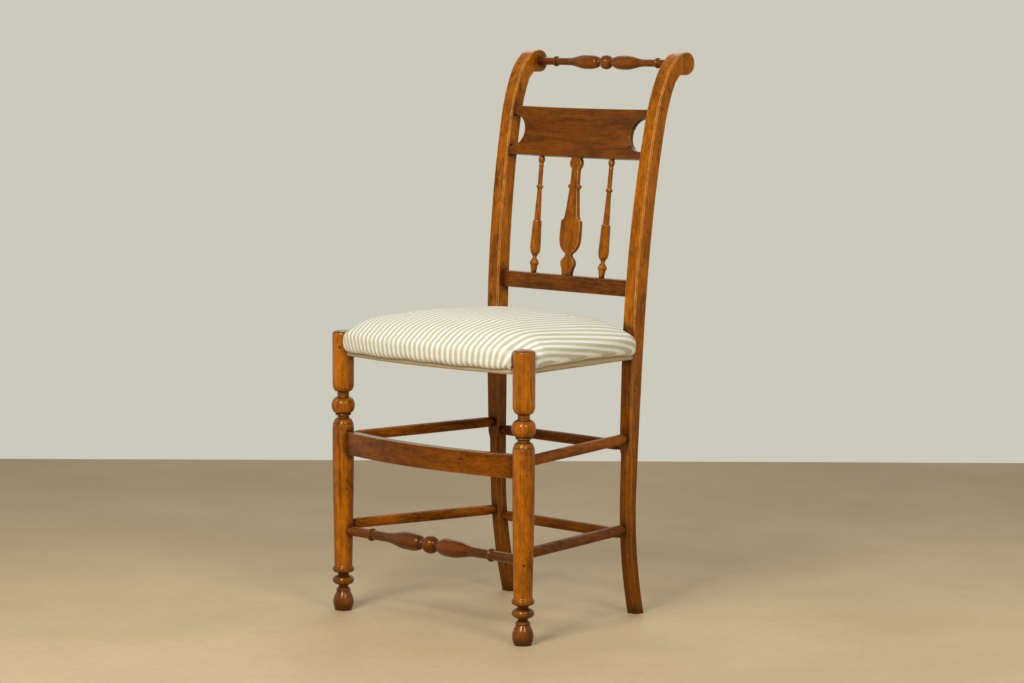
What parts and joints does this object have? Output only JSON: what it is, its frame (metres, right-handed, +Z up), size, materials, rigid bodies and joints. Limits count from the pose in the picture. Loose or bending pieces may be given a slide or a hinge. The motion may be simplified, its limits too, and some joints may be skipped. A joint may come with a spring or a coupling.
{
  "type": "upholstered side chair",
  "caption": "Wooden side chair with turned front legs, scrolled back posts, a turned crest spindle, a half-moon tablet over spindles and splat, and a domed striped seat.",
  "frame": {"origin": "on the floor, in the middle of the chair's box", "axes": "+Z up, +X to the right of someone who looks at the chair from the front, -Y towards the front"},
  "size_m": [0.4438, 0.454, 0.8983],
  "materials": {
    "polished_wood": "satin, polished fruitwood",
    "frame_wood": "plain, waxed",
    "striped_cloth": "woven stripes, cream and pale green",
    "lining_cloth": "plain weave",
    "hessian": "coarse weave",
    "webbing": "woven strap",
    "stuffing": "matted fibre"
  },
  "bodies": {
    "root": {"front_leg_left": "polished_wood", "front_leg_right": "polished_wood", "stile_left": "polished_wood", "stile_right": "polished_wood", "crest_spindle": "polished_wood", "back_tablet": "polished_wood", "lower_back_rail": "polished_wood", "back_spindle_left": "polished_wood", "back_spindle_right": "polished_wood", "back_splat": "polished_wood", "front_apron": "polished_wood", "turned_stretcher": "polished_wood", "side_stretcher_upper_left": "polished_wood", "side_stretcher_upper_right": "polished_wood", "side_stretcher_lower_left": "polished_wood", "side_stretcher_lower_right": "polished_wood", "back_stretcher_upper": "polished_wood", "back_stretcher_lower": "polished_wood", "seat_rail_front": "frame_wood", "seat_rail_back": "frame_wood", "seat_rail_left": "frame_wood", "seat_rail_right": "frame_wood", "tenon_pegs": "frame_wood", "seat_cover": "striped_cloth", "seat_lining": "lining_cloth", "seat_hessian": "hessian", "seat_webbing": "webbing", "seat_stuffing": "stuffing"}
  },
  "joints": []
}
